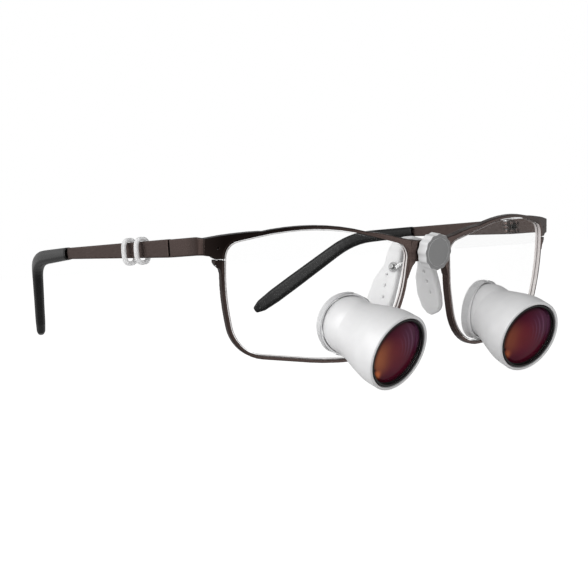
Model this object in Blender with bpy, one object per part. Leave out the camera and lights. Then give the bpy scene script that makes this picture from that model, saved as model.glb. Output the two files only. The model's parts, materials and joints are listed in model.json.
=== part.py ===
"""Through-the-lens dental loupes: a metal spectacle frame whose carrier lenses each hold a small telescope.

+X is the wearer's left, +Y runs back along the temples, +Z is up, in metres.  The origin is the centre of
the front face of the thumb knob on the bridge.  Dimensions below are in millimetres and degrees.
"""
import math

import bmesh
import bpy
from mathutils import Matrix, Vector
from mathutils.geometry import interpolate_bezier, tessellate_polygon

MM = 0.001
GAP = 0.3                     # clearance between neighbouring pieces
CHORD_ERROR = 0.03            # how far a sampled arc may stray from the true one
SLIVER = 0.002                # edges shorter than this are merged after a Boolean

# Lens planes
LENS_CENTRE_X = 36.7          # from the middle of the bridge to the middle of a lens
WRAP = math.radians(12.6)     # how far each lens plane turns back towards the temple
PANTO = math.radians(10.7)    # how far the front leans, bottom edge towards the cheek
LENS_RADIUS = 165.0           # base curve of the carrier lenses
LENS_HALF = 1.0               # half the carrier lens thickness
RIM_HALF = 0.95               # half the rim depth, front to back
RIM_WALL = 0.95               # rim width seen from the front
GROOVE = 0.4                  # depth of the lens groove in the rim
GROOVE_HALF = 0.55            # half the groove width
PLATE_HALF = 1.15             # half the thickness of the plates brazed beside the rims

# Aperture outline in its lens plane: u runs towards the temple, v up, then the corner's fillet radius
APERTURE = (
    (28.9, 13.5, 4.6),        # top, temple side
    (3.0, 19.3, 75.0),        # crown of the top edge
    (-28.9, 11.9, 4.2),       # top, nose side
    (-27.6, -1.0, 34.0),      # nose side
    (-21.2, -19.9, 17.0),     # bottom, nose side
    (-2.0, -19.5, 90.0),      # bottom
    (24.4, -16.6, 11.5),      # bottom, temple side
    (28.9, 0.5, 60.0),        # temple side
)

# Front: bridge, end pieces and hinges
BRIDGE_DEPTH = -3.75          # the bridge's middle plane, ahead of the lens datum before the lean
BRIDGE_HALF = 0.9
BRIDGE_V = 10.2               # height of the bridge's middle
ARM_X = 69.9                  # middle of the end piece's side arm
ARM_HALF = 0.75
ARM_Z = (12.25, 17.2)
BEND_STEPS = 7                # rings around the end piece's bend into its side arm
HINGE_X = 67.4
HINGE_Y = 23.0
KNUCKLE_R = 1.4
KNUCKLES = ((12.6, 13.8), (13.95, 15.1), (15.25, 16.4))
HINGE_BORE_R = 0.75
BUTT_GAP = 0.38               # each side of the hinge line, between the arm and the temple
HINGE_PIN_R = 0.6
CLOSING_U = 30.85             # the closing screw's place in the lens plane
CLOSING_V = 9.25              # height of the slot that lets the rim open
CLOSING_HALF = 0.17           # half the slot's height

# Temples
TEMPLE_END = (72.3, 71.3)     # where the metal temple enters its tip, x and y
TEMPLE_TOP = 17.3
TEMPLE_FOOT = (12.25, 13.95)  # height of the lower edge, at the hinge and at the tip
TIP_BEND = (67.2, 99.1, 14.9)
TIP_END = (47.0, 134.4, -9.9)
TIP_BEND_R = 26.0
CORE_HALF = 0.7

# Cable clips on the wearer's right temple
CLIP_Y = (35.8, 41.6)
CLIP_HALF_LENGTH = 0.8

# Telescopes
BALL_U = -8.95                # where the ball sits on the lens, set to the wearer's own eyes
BALL_V = {-1: -9.6, 1: -9.95}
BALL_AHEAD = 2.85             # ball centre ahead of the lens middle surface
BALL_R = 8.3
BALL_TO_FRONT = 18.2
DECLINATION = math.radians(25.0)
CONVERGENCE = math.radians(5.7)
BARREL_R = 11.15
SOCKET_R = BALL_R + GAP + 0.2
TURNED = 28                   # segments around the large turned parts
TURNED_SMALL = 20

# Knob on the bridge
KNOB_R = 5.35
KNOB_LOBES = 12
KNOB_FACE = 4.5               # front face, ahead of the bridge's middle plane
KNOB_BACK = 1.2
WASHER_R = 3.5
SKIRT_R = 3.9                 # inside of the knob's skirt, around the washer

# Nose saddle, right half from pad to arch: x, y, z, half width, half thickness
SADDLE = (
    (11.75, 4.4, -9.9, 1.5, 0.6),
    (11.6, 4.6, -9.2, 2.9, 0.9),
    (11.1, 4.8, -7.5, 4.1, 1.1),
    (10.1, 4.6, -4.0, 4.8, 1.2),
    (8.6, 3.6, 0.5, 4.5, 1.2),
    (6.9, 2.0, 5.0, 3.1, 1.15),
    (5.7, 1.7, 9.0, 2.8, 1.1),
    (3.8, 1.8, 11.7, 2.6, 1.05),
    (0.0, 1.9, 12.7, 2.5, 1.0),
)
PAD_FLARE = math.radians(6)   # the pads open a little towards the cheeks
VENT_HEIGHTS = (-3.4, 0.0, 3.0)
VENT_Y = 2.9
VENT_R = 0.5
SEAT_STATION = 5              # the station whose outer face carries the pad arm
SEAT_FORWARD = 1.5            # how far the arm's seat lies ahead of that station's middle
ARM_PLATE = 0.6
ARM_WIRE = 0.55               # half the side of the pad arm's square wire

COLOURS = {
    "frame_metal": ((0.16, 0.13, 0.12), 0.38, 0.9),
    "temple_metal": ((0.22, 0.18, 0.165), 0.38, 0.9),
    "steel": ((0.62, 0.62, 0.63), 0.3, 1.0),
    "acetate": ((0.012, 0.012, 0.014), 0.18, 0.0),
    "lens": ((0.95, 0.97, 0.97), 0.03, 0.0),
    "housing": ((0.86, 0.86, 0.87), 0.32, 0.35),
    "black": ((0.015, 0.015, 0.016), 0.45, 0.0),
    "coated_glass": ((0.30, 0.05, 0.06), 0.05, 0.0),
    "silicone": ((0.85, 0.86, 0.87), 0.45, 0.0),
    "knob_metal": ((0.45, 0.45, 0.46), 0.3, 0.9),
}


def lean(x, y, z):
    """A point before the pantoscopic lean, in millimetres, carried to its leaning place."""
    return Vector((x, y * math.cos(PANTO) - z * math.sin(PANTO), y * math.sin(PANTO) + z * math.cos(PANTO)))


MOUNT_AXIS = lean(0, -1, 0)
MOUNT_CENTRE = lean(0, BRIDGE_DEPTH, BRIDGE_V)
DATUM = MOUNT_CENTRE + MOUNT_AXIS * KNOB_FACE


def world(point):
    """Millimetres about the middle of the lens line, to metres about the knob's face."""
    return (Vector(point) - DATUM) * MM


def clear_scene():
    for item in list(bpy.data.objects):
        bpy.data.objects.remove(item, do_unlink=True)


def material(name):
    found = bpy.data.materials.get(name)
    if found:
        return found
    colour, roughness, metallic = COLOURS[name]
    made = bpy.data.materials.new(name)
    made.use_nodes = True
    shader = made.node_tree.nodes["Principled BSDF"]
    shader.inputs["Base Color"].default_value = (*colour, 1.0)
    shader.inputs["Roughness"].default_value = roughness
    shader.inputs["Metallic"].default_value = metallic
    return made


def solid(name, bm, slot, origin=(0.0, 0.0, 0.0)):
    """Turn mesh data in world metres into a named object with its own origin."""
    bmesh.ops.triangulate(bm, faces=bm.faces)
    bmesh.ops.recalc_face_normals(bm, faces=bm.faces)
    origin = Vector(origin)
    bmesh.ops.translate(bm, verts=bm.verts, vec=-origin)
    mesh = bpy.data.meshes.new(name)
    bm.to_mesh(mesh)
    bm.free()
    mesh.shade_smooth()
    mesh.set_sharp_from_angle(angle=math.radians(35))
    mesh.materials.append(material(slot))
    item = bpy.data.objects.new(name, mesh)
    item.location = origin
    bpy.context.collection.objects.link(item)
    return item


def tidied(mesh):
    """Merge the sliver edges a Boolean can leave, and keep the faces as triangles."""
    bm = bmesh.new()
    bm.from_mesh(mesh)
    bmesh.ops.remove_doubles(bm, verts=bm.verts, dist=SLIVER * MM)
    bmesh.ops.dissolve_degenerate(bm, edges=bm.edges, dist=SLIVER * MM)
    bmesh.ops.triangulate(bm, faces=bm.faces)
    bm.to_mesh(mesh)
    bm.free()
    return mesh


def combine(target, others, operation):
    """Join the other solids to the target, or cut them from it, and remove them."""
    for other in others:
        step = target.modifiers.new(operation.lower(), "BOOLEAN")
        step.operation = operation
        step.solver = "EXACT"
        step.object = other
        bpy.context.view_layer.update()
        graph = bpy.context.evaluated_depsgraph_get()
        mesh = bpy.data.meshes.new_from_object(target.evaluated_get(graph))
        target.modifiers.remove(step)
        target.data = tidied(mesh)
        bpy.data.objects.remove(other, do_unlink=True)
    return target


def fuse(target, others):
    return combine(target, others, "UNION")


def cut(target, others):
    return combine(target, others, "DIFFERENCE")


def ring_faces(bm, lower, upper):
    """Faces between two neighbouring rings; a ring of one vertex is a pole."""
    count = max(len(lower), len(upper))
    for i in range(count):
        j = (i + 1) % count
        corners = [lower[i % len(lower)], lower[j % len(lower)], upper[j % len(upper)], upper[i % len(upper)]]
        distinct = list(dict.fromkeys(corners))
        if len(distinct) > 2:
            bm.faces.new(distinct)


def lofted(name, loops, slot, closed=False, origin=(0.0, 0.0, 0.0)):
    """A solid through rings of points in millimetres, capped at both ends or closed on itself."""
    bm = bmesh.new()
    rings = [[bm.verts.new(world(point)) for point in loop] for loop in loops]
    for lower, upper in zip(rings, rings[1:]):
        ring_faces(bm, lower, upper)
    if closed:
        ring_faces(bm, rings[-1], rings[0])
    else:
        for end in (rings[0], rings[-1]):
            if len(end) > 2:
                bm.faces.new(end)
    return solid(name, bm, slot, origin)


def axes_about(direction):
    """Two unit vectors square to a direction, the second as near to straight up as it can be."""
    forward = Vector(direction).normalized()
    hint = Vector((0, 0, 1)) if abs(forward.z) < 0.9 else Vector((0, 1, 0))
    across = forward.cross(hint).normalized()
    return across, across.cross(forward).normalized()


def circle(centre, direction, radius, segments):
    across, up = axes_about(direction)
    turn = 2 * math.pi / segments
    angles = [i * turn for i in range(segments)]
    return [centre + radius * (math.cos(angle) * across + math.sin(angle) * up) for angle in angles]


def turned(name, centre, direction, profile, slot, segments, closed, origin=(0.0, 0.0, 0.0)):
    """A lathe-turned solid: the profile gives (distance along the axis, radius) pairs."""
    direction = Vector(direction).normalized()
    centre = Vector(centre)
    loops = []
    for along, radius in profile:
        place = centre + direction * along
        loops.append([place] if radius == 0 else circle(place, direction, radius, segments))
    return lofted(name, loops, slot, closed, origin)


def pin(name, centre, direction, start, end, radius, slot="steel", segments=12):
    return turned(name, centre, direction, ((start, radius), (end, radius)), slot, segments, False)


def screw(name, centre, direction, head, neck, end, head_r, shank_r):
    """A cheese-headed screw: the head from head to neck, the shank from neck to end."""
    profile = ((head, head_r * 0.85), (head + 0.12, head_r), (neck, head_r), (neck, shank_r), (end, shank_r))
    return turned(name, centre, direction, profile, "steel", 12, False)


def block(name, corner, opposite, slot):
    low = Vector(map(min, corner, opposite))
    high = Vector(map(max, corner, opposite))
    loops = [
        [(low.x, low.y, z), (high.x, low.y, z), (high.x, high.y, z), (low.x, high.y, z)]
        for z in (low.z, high.z)
    ]
    return lofted(name, loops, slot)


# Lens plane geometry

def lens_point(side, u, v, depth):
    """A point on a lens: u towards the temple, v up, depth behind its middle surface."""
    sag = (u * u + v * v) / (2 * LENS_RADIUS)
    back = sag + depth
    x = LENS_CENTRE_X + u * math.cos(WRAP) - back * math.sin(WRAP)
    y = u * math.sin(WRAP) + back * math.cos(WRAP)
    return lean(side * x, y, v)


def lens_normal(side):
    """The direction out of the back of a lens."""
    return lean(-side * math.sin(WRAP), math.cos(WRAP), 0)


def lens_up():
    return lean(0, 0, 1)


def fillet(before, corner, after, radius):
    """Points and outward normals along the arc that rounds one corner of an outline."""
    arriving = (corner - before).normalized()
    leaving = (after - corner).normalized()
    turn = arriving.angle(leaving)
    tangent = radius * math.tan(turn / 2)
    outward = Vector((-arriving.y, arriving.x))
    if outward.dot(leaving) > 0:
        outward = -outward
    centre = corner - arriving * tangent - outward * radius
    steps = max(2, math.ceil(turn / (2 * math.acos(1 - CHORD_ERROR / radius))))
    arc = []
    for i in range(steps + 1):
        angle = turn * i / steps
        normal = outward * math.cos(angle) + arriving * math.sin(angle)
        arc.append((centre + normal * radius, normal))
    return arc


def aperture_outline():
    """The aperture as (point, outward normal) pairs around its rounded corners."""
    corners = [Vector((u, v)) for u, v, radius in APERTURE]
    outline = []
    for i, (u, v, radius) in enumerate(APERTURE):
        outline += fillet(corners[i - 1], corners[i], corners[(i + 1) % len(corners)], radius)
    return outline


OUTLINE = aperture_outline()


def around_aperture(side, offset, depth):
    """The aperture's outline, grown by an offset, at a depth."""
    return [lens_point(side, *(point + normal * offset), depth) for point, normal in OUTLINE]


def plate_in_lens_plane(name, side, corners, half):
    loops = [[lens_point(side, u, v, depth) for u, v in corners] for depth in (-half, half)]
    return lofted(name, loops, "frame_metal")


def rim(side):
    section = (
        (0.0, -RIM_HALF), (RIM_WALL, -RIM_HALF), (RIM_WALL, RIM_HALF), (0.0, RIM_HALF),
        (0.0, GROOVE_HALF), (GROOVE, GROOVE_HALF), (GROOVE, -GROOVE_HALF), (0.0, -GROOVE_HALF),
    )
    loops = [around_aperture(side, offset, depth) for offset, depth in section]
    return lofted("rim", loops, "frame_metal", closed=True)


def wall_run(wanted):
    """The middle of the rim's wall, as the unbroken run of outline points that are wanted."""
    inside = (RIM_WALL + GROOVE) / 2
    grown = [point + normal * inside for point, normal in OUTLINE]
    keep = [wanted(point) for point in grown]
    first = next(i for i in range(len(grown)) if keep[i] and not keep[i - 1])
    length = sum(keep)
    return [grown[(first + i) % len(grown)] for i in range(length)]


def plate_beside_rim(name, side, edge, wanted, half):
    """A flat-sided plate between an outer edge and the rim's wall, thick across the lens plane."""
    corners = [Vector(spot) for spot in edge] + wall_run(wanted)[::-1]
    bm = bmesh.new()
    front, back = [
        [bm.verts.new(world(lens_point(side, *corner, depth))) for corner in corners]
        for depth in (-half, half)
    ]
    flat = [Vector((u, v, 0)) for u, v in corners]
    for triangle in tessellate_polygon([flat]):
        bm.faces.new([front[i] for i in triangle])
        bm.faces.new([back[i] for i in triangle])
    ring_faces(bm, front, back)
    return solid(name, bm, "frame_metal")


def end_piece(side):
    """The plate beside the rim, the closing lug below it and the arm that turns back to the hinge."""
    edge = (
        (29.8, 5.6), (30.1, 6.6), (31.2, 7.5), (31.75, 8.3), (31.75, 9.4), (32.7, 10.1), (34.6, 10.3),
        (34.6, 14.75), (30.0, 15.65), (26.5, 16.15), (22.5, 16.6), (18.5, 16.85),
    )
    plate = plate_beside_rim("plate", side, edge, lambda p: p.x > 17 and p.y > 4.5, PLATE_HALF)
    low, high = ARM_Z
    v_low, v_high = 10.35, 14.7
    corner_y = 8.6
    outside = ARM_X + ARM_HALF
    inside = ARM_X - ARM_HALF

    def across_lens(u_front, u_back, front, back):
        return [
            lens_point(side, u_front, v_low, front), lens_point(side, u_front, v_high, front),
            lens_point(side, u_back, v_high, back), lens_point(side, u_back, v_low, back),
        ]

    def across_arm(y_out, y_in):
        return [
            Vector((side * outside, y_out, low)), Vector((side * outside, y_out, high)),
            Vector((side * inside, y_in, high)), Vector((side * inside, y_in, low)),
        ]

    entering = across_lens(32.6, 32.6, -1.1, 1.1)
    leaving = across_arm(corner_y + 2.2, corner_y + 3.2)
    turning = [
        interpolate_bezier(start, start.lerp(bend, 0.6), end.lerp(bend, 0.6), end, BEND_STEPS)
        for start, bend, end in zip(entering, across_lens(35.3, 33.6, -1.1, 1.1), leaving)
    ]
    loops = [list(ring) for ring in zip(*turning)]
    loops.append(across_arm(HINGE_Y - BUTT_GAP, HINGE_Y - BUTT_GAP))
    arm = lofted("arm", loops, "frame_metal")
    return [plate, arm]


def knuckles(side, spans, reach):
    """Hinge barrels about the hinge axis, each with the web that ties it to its plate."""
    pieces = []
    for low, high in spans:
        centre = (side * HINGE_X, HINGE_Y, 0)
        pieces.append(pin("knuckle", centre, (0, 0, 1), low, high, KNUCKLE_R, "frame_metal", 16))
        inset = 0.06
        near = (side * (HINGE_X + 0.2), HINGE_Y + math.copysign(BUTT_GAP, reach), low + inset)
        far = (side * (ARM_X - 0.4), HINGE_Y + reach, high - inset)
        pieces.append(block("web", near, far, "frame_metal"))
    return pieces


def hinge_bore(side):
    return pin("bore", (side * HINGE_X, HINGE_Y, 0), (0, 0, 1), 10.0, 20.0, HINGE_BORE_R)


def nasal_web(side):
    """The plate that fills the corner between a rim and the bridge."""
    edge = (
        (-14.5, 16.3), (-18.5, 15.8), (-22.5, 15.05), (-25.8, 14.25), (-29.6, 13.55), (-31.4, 13.4),
        (-31.4, 6.9), (-30.4, 5.9), (-29.6, 4.2), (-29.0, 2.6),
    )
    return plate_beside_rim("nasal_web", side, edge, lambda p: p.x < -10 and p.y > 2.0, PLATE_HALF - 0.05)


def bridge():
    """The arched plate that joins the rims."""
    stations = ((-7.3, 6.6, 13.5), (-5.2, 7.2, 13.3), (0.0, 7.35, 13.15), (5.2, 7.2, 13.3), (7.3, 6.6, 13.5))
    loops = []
    for x, low, high in stations:
        loops.append([
            lean(x, BRIDGE_DEPTH - BRIDGE_HALF, low), lean(x, BRIDGE_DEPTH - BRIDGE_HALF, high),
            lean(x, BRIDGE_DEPTH + BRIDGE_HALF, high), lean(x, BRIDGE_DEPTH + BRIDGE_HALF, low),
        ])
    return lofted("bridge", loops, "frame_metal")


def closing_cuts(side):
    """The slot that splits a rim below its end piece, and the closing screw's bore."""
    low, high = CLOSING_V - CLOSING_HALF, CLOSING_V + CLOSING_HALF
    corners = ((27.4, low), (34.5, low), (34.5, high), (27.4, high))
    slot = plate_in_lens_plane("slot", side, corners, 2.5)
    bore = pin("bore", lens_point(side, CLOSING_U, 0, 0), lens_up(), 5.0, 12.6, 0.6)
    return [slot, bore]


def frame_front():
    frame = rim(1)
    parts = [rim(-1), bridge()]
    for side in (-1, 1):
        parts.append(nasal_web(side))
        parts += end_piece(side)
        parts += knuckles(side, (KNUCKLES[0], KNUCKLES[2]), -2.6)
    frame = fuse(frame, parts)
    cutters = [pin("bore", MOUNT_CENTRE, MOUNT_AXIS, -3.0, 3.0, 1.55)]
    for side in (-1, 1):
        cutters += closing_cuts(side)
        cutters.append(hinge_bore(side))
    cut(frame, cutters)
    frame.name = "frame_front"
    return frame


def carrier_lens(name, side):
    """A clear lens with a bevelled edge in the rim's groove and a bore for the telescope's socket."""
    bore_r = SOCKET_R + GAP
    middle = Vector((BALL_U, BALL_V[side]))
    bore = []
    for point, normal in OUTLINE:
        bore.append(middle + (point - middle).normalized() * bore_r)
    face = GROOVE_HALF - GAP
    edge = GROOVE - GAP
    shoulder = -0.3

    def between(part, offset, depth):
        loop = []
        for (point, normal), start in zip(OUTLINE, bore):
            place = start.lerp(point + normal * offset, part)
            loop.append(lens_point(side, place.x, place.y, depth))
        return loop

    loops = [
        between(0.0, shoulder, -LENS_HALF), between(0.5, shoulder, -LENS_HALF),
        between(1.0, shoulder, -LENS_HALF), between(1.0, shoulder, -face), between(1.0, edge, -face),
        between(1.0, edge, face), between(1.0, shoulder, face), between(1.0, shoulder, LENS_HALF),
        between(0.5, shoulder, LENS_HALF), between(0.0, shoulder, LENS_HALF),
    ]
    return lofted(name, loops, "lens", closed=True)


def closing_screw(name, side):
    centre = lens_point(side, CLOSING_U, 0, 0)
    return screw(name, centre, lens_up(), 7.4, 7.8, 12.2, 0.48, 0.36)


def hinge_screw(name, side):
    top = KNUCKLES[2][1] + 0.2
    return screw(name, (side * HINGE_X, HINGE_Y, top), (0, 0, -1), -0.5, 0.0, 4.1, 1.15, HINGE_PIN_R)


# Temples

def mirrored(point, side):
    return Vector((side * point[0], point[1], point[2]))


def tip_path(side, reach=1.0, steps=14):
    """The run of the temple tip: straight from the metal, rounded at the bend, straight to the end."""
    start = Vector((*TEMPLE_END, (TEMPLE_TOP + TEMPLE_FOOT[1]) / 2))
    bend, end = Vector(TIP_BEND), Vector(TIP_END)
    into = (bend - start).normalized()
    away = (end - bend).normalized()
    tangent = TIP_BEND_R * math.tan(into.angle(away) / 2)
    first, last = bend - into * tangent, bend + away * tangent
    handle = 4 / 3 * math.tan(into.angle(away) / 4) * TIP_BEND_R
    arc = interpolate_bezier(first, first + into * handle, last - away * handle, last, 7)
    straight = [last.lerp(end, part) for part in (0.25, 0.5, 0.75, 0.92, 1.0)]
    points = [start, start.lerp(first, 0.5), *arc, *straight]
    lengths = [0.0]
    for a, b in zip(points, points[1:]):
        lengths.append(lengths[-1] + (b - a).length)
    path = []
    for point, length in zip(points, lengths):
        part = length / lengths[-1]
        if part <= reach:
            path.append((mirrored(point, side), part))
    return path


def section_axes(path, i):
    """Sideways and upright directions across a path at one of its points."""
    before = path[max(i - 1, 0)][0]
    after = path[min(i + 1, len(path) - 1)][0]
    along = (after - before).normalized()
    sideways = along.cross(Vector((0, 0, 1))).normalized()
    return sideways, sideways.cross(along).normalized()


def square_section(centre, sideways, upright, half):
    """Four points round a square section."""
    return [centre + (sideways * a + upright * b) * half for a, b in ((-1, -1), (1, -1), (1, 1), (-1, 1))]


def rounded_section(centre, sideways, upright, half_width, half_height):
    """Eight points round an oval-cornered section."""
    inset = 0.45 * min(half_width, half_height)
    wide, tall = half_width - inset, half_height - inset
    spots = (
        (half_width, -tall), (half_width, tall), (wide, half_height), (-wide, half_height),
        (-half_width, tall), (-half_width, -tall), (-wide, -half_height), (wide, -half_height),
    )
    return [centre + sideways * a + upright * b for a, b in spots]


def temple(name, side):
    """The flat metal temple with its hinge knuckle and the core wire that stiffens the tip."""
    end_x, end_y = TEMPLE_END
    loops = []
    for part in (0.0, 0.5, 1.0):
        x = ARM_X + (end_x - ARM_X) * part
        y = HINGE_Y + BUTT_GAP + (end_y - HINGE_Y - BUTT_GAP) * part
        foot = TEMPLE_FOOT[0] + (TEMPLE_FOOT[1] - TEMPLE_FOOT[0]) * part
        half = ARM_HALF * (1 - 0.12 * part)
        loops.append([
            Vector((side * (x - half), y, foot)), Vector((side * (x + half), y, foot)),
            Vector((side * (x + half), y, TEMPLE_TOP)), Vector((side * (x - half), y, TEMPLE_TOP)),
        ])
    core = tip_path(side, reach=0.8)
    for i, (place, part) in enumerate(core):
        sideways, upright = section_axes(core, i)
        sideways *= math.copysign(1, sideways.x * side)
        loops.append(square_section(place, sideways, upright, CORE_HALF))
    plate = lofted("plate", loops, "temple_metal")
    made = fuse(plate, knuckles(side, (KNUCKLES[1],), 2.6))
    cut(made, [hinge_bore(side)])
    made.name = name
    pivot = world((side * HINGE_X, HINGE_Y, 0))
    made.data.transform(Matrix.Translation(-pivot))
    made.location = pivot
    return made


def tip_half_sizes(part):
    """Half width and half height of a temple tip along its run."""
    swell = min(part / 0.75, 1.0)
    height = 1.85 + 0.85 * swell
    width = 1.6 + 0.1 * math.sin(math.pi * swell)
    if part > 0.9:
        rounding = math.sqrt(max(1 - ((part - 0.9) / 0.112) ** 2, 0.0))
        height *= rounding
        width *= 0.4 + 0.6 * rounding
    return width, height


def temple_tip(name, side):
    """The moulded sleeve over the temple's end, bored for the core wire."""
    path = tip_path(side)
    loops = []
    for i, (place, part) in enumerate(path):
        sideways, upright = section_axes(path, i)
        if i == 0:
            place = place + (path[1][0] - place).normalized() * GAP
        loops.append(rounded_section(place, sideways, upright, *tip_half_sizes(part)))
    sleeve = lofted(name, loops, "acetate")
    core = tip_path(side, reach=0.82)
    start = core[0][0] - (core[1][0] - core[0][0]).normalized()
    run = [(start, 0.0), *core[1:]]
    reach = run[-1][0] + (run[-1][0] - run[-2][0]).normalized() * 0.6
    run.append((reach, 1.0))
    bore_loops = []
    for i, (place, part) in enumerate(run):
        bore_loops.append(square_section(place, *section_axes(run, i), CORE_HALF + GAP))
    return cut(sleeve, [lofted("bore", bore_loops, "acetate")])


def cable_clip(name, y):
    """A soft oval loop round the right temple that holds the light's cable."""
    part = (y - HINGE_Y) / (TEMPLE_END[1] - HINGE_Y)
    x = ARM_X + (TEMPLE_END[0] - ARM_X) * part
    z = (ARM_Z[0] + ARM_Z[1]) / 2
    loops = []
    for half_width, half_height, dy in (
        (1.35, 2.9, -CLIP_HALF_LENGTH), (2.7, 4.05, -CLIP_HALF_LENGTH),
        (2.7, 4.05, CLIP_HALF_LENGTH), (1.35, 2.9, CLIP_HALF_LENGTH),
    ):
        centre = Vector((-x, y + dy, z))
        loops.append(clip_outline(centre, half_width, half_height))
    return lofted(name, loops, "silicone", closed=True)


def clip_outline(centre, half_width, half_height, segments=16):
    """A rounded rectangle of points square to the temple."""
    points = []
    for i in range(segments):
        angle = 2 * math.pi * (i + 0.5) / segments
        c, s = math.cos(angle), math.sin(angle)
        x = math.copysign(abs(c) ** 0.62, c) * half_width
        z = math.copysign(abs(s) ** 0.62, s) * half_height
        points.append(centre + Vector((x, 0, z)))
    return points


# Nose saddle and its arms

def saddle_station(index):
    """Centre, width direction, thickness direction and half sizes of a saddle station, where x is positive."""
    x, y, z, half_width, half_thickness = SADDLE[index]
    centre = Vector((x, y, z))
    before = Vector(SADDLE[max(index - 1, 0)][:3])
    if index + 1 < len(SADDLE):
        after = Vector(SADDLE[index + 1][:3])
    else:
        after = Vector((-SADDLE[index - 1][0], *SADDLE[index - 1][1:3]))
    along = (after - before).normalized()
    flare = PAD_FLARE * min(1.0, x / SADDLE[SEAT_STATION][0])
    width = Vector((math.sin(flare), math.cos(flare), 0))
    width = (width - along * width.dot(along)).normalized()
    return centre, width, width.cross(along).normalized(), half_width, half_thickness


def nose_saddle():
    half = []
    for i in range(len(SADDLE)):
        centre, width, thick, half_width, half_thickness = saddle_station(i)
        half.append(rounded_section(centre, width, thick, half_width, half_thickness))
    other = [[Vector((-p.x, p.y, p.z)) for p in loop] for loop in reversed(half[:-1])]
    return lofted("nose_saddle", half + other, "silicone")


def saddle_seat(side):
    """Where a pad arm meets the saddle: a point on the outer face, and the outward and backward ways."""
    centre, width, thick, half_width, half_thickness = saddle_station(SEAT_STATION)
    outward = thick if thick.x > 0 else -thick
    seat = centre + outward * half_thickness - width * SEAT_FORWARD
    return mirrored(seat, side), mirrored(outward, side), mirrored(width, side)


def pad_arm(name, side):
    """A bent strip from behind the rim to an eye on the saddle's outer face."""
    face, outward, backward = saddle_seat(side)
    eye = face + outward * GAP
    rise = eye + outward * ARM_PLATE / 2
    foot = lens_point(side, -29.1, 6.2, RIM_HALF + GAP)
    elbow = lens_point(side, -28.4, 6.2, RIM_HALF + GAP + 1.3)
    stations = (foot, elbow, rise + outward * 0.5 - backward * 1.9, rise - backward)
    loops = []
    for i, place in enumerate(stations):
        run = [(point, 0.0) for point in stations]
        loops.append(square_section(place, *section_axes(run, i), ARM_WIRE))
    strip = lofted(name, loops, "steel")
    eye_plate = pin("eye", eye, outward, 0.0, ARM_PLATE, 1.45)
    fuse(strip, [eye_plate])
    return cut(strip, [pin("bore", eye, outward, -2.0, 3.0, 0.7)])


def pad_screw(name, side):
    face, outward, backward = saddle_seat(side)
    seat = face + outward * (GAP + ARM_PLATE + 0.1)
    return screw(name, seat, -outward, -0.6, 0.0, 2.2, 0.85, 0.4)


def pad_screw_bores():
    bores = []
    for side in (-1, 1):
        face, outward, backward = saddle_seat(side)
        bores.append(pin("bore", face, outward, -1.7, 3.0, 0.7))
    return bores


def pad_vents():
    """The three small holes through each pad."""
    return [pin("vent", (0, VENT_Y, height), (1, 0, 0), -15.0, 15.0, VENT_R) for height in VENT_HEIGHTS]


# Light mount on the bridge

def mount_piece(name, profile, slot, segments=TURNED_SMALL, closed=True):
    return turned(name, MOUNT_CENTRE, MOUNT_AXIS, profile, slot, segments, closed)


def mount_stud():
    """The stud behind the bridge that the knob screws onto."""
    back = -BRIDGE_HALF - GAP
    profile = ((back - 0.9, 0), (back - 0.9, 2.3), (back, 2.6), (back, 1.25), (3.0, 1.25), (3.0, 0))
    return mount_piece("mount_stud", profile, "steel", closed=False)


def clamp_washer():
    front = BRIDGE_HALF + GAP
    return mount_piece(
        "clamp_washer",
        ((front, 1.6), (front, WASHER_R), (front + 0.45, WASHER_R), (front + 0.45, 1.6)),
        "steel",
    )


def knob_outline(centre, radius, depth):
    """A ring scalloped into lobes."""
    across, up = axes_about(MOUNT_AXIS)
    count = KNOB_LOBES * 4
    points = []
    for i in range(count):
        angle = 2 * math.pi * i / count
        reach = radius - depth * (0.5 - 0.5 * math.cos(KNOB_LOBES * angle))
        points.append(centre + reach * (math.cos(angle) * across + math.sin(angle) * up))
    return points


def thumb_knob():
    """The scalloped knob: a threaded hole behind and a shallow recess in front for its cap."""
    origin = world(MOUNT_CENTRE)
    recess = KNOB_FACE - 0.75
    hub = KNOB_BACK + 0.75
    spots = (
        (KNOB_BACK, SKIRT_R, 0.0), (KNOB_BACK, KNOB_R - 0.3, 0.25), (KNOB_BACK + 0.3, KNOB_R, 0.3),
        (KNOB_FACE - 0.3, KNOB_R, 0.3), (KNOB_FACE - 0.02, KNOB_R - 0.25, 0.2), (KNOB_FACE - 0.02, 4.35, 0.0),
        (recess, 4.35, 0.0), (recess, 1.6, 0.0), (hub, 1.6, 0.0), (hub, SKIRT_R, 0.0),
    )
    loops = [knob_outline(MOUNT_CENTRE + MOUNT_AXIS * along, radius, depth) for along, radius, depth in spots]
    return lofted("thumb_knob", loops, "knob_metal", closed=True, origin=origin)


def knob_cap():
    """The plain disc let into the knob's face."""
    profile = (
        (KNOB_FACE - 0.75 + GAP, 0), (KNOB_FACE - 0.75 + GAP, 4.05), (KNOB_FACE, 4.05), (KNOB_FACE, 0),
    )
    return mount_piece("knob_cap", profile, "knob_metal", closed=False)


# Telescopes

def telescope_axis(side):
    """The way a telescope looks: down and towards the other one."""
    flat = math.cos(DECLINATION)
    return Vector((
        -side * math.sin(CONVERGENCE) * flat, -math.cos(CONVERGENCE) * flat, -math.sin(DECLINATION),
    ))


def ball_centre(side):
    return lens_point(side, BALL_U, BALL_V[side], -BALL_AHEAD)


def telescope_piece(name, side, profile, slot, segments=TURNED_SMALL, closed=True):
    """A piece turned about a telescope's axis; distances are measured back from its front rim."""
    axis = telescope_axis(side)
    return turned(name, ball_centre(side) + axis * BALL_TO_FRONT, -axis, profile, slot, segments, closed)


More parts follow.
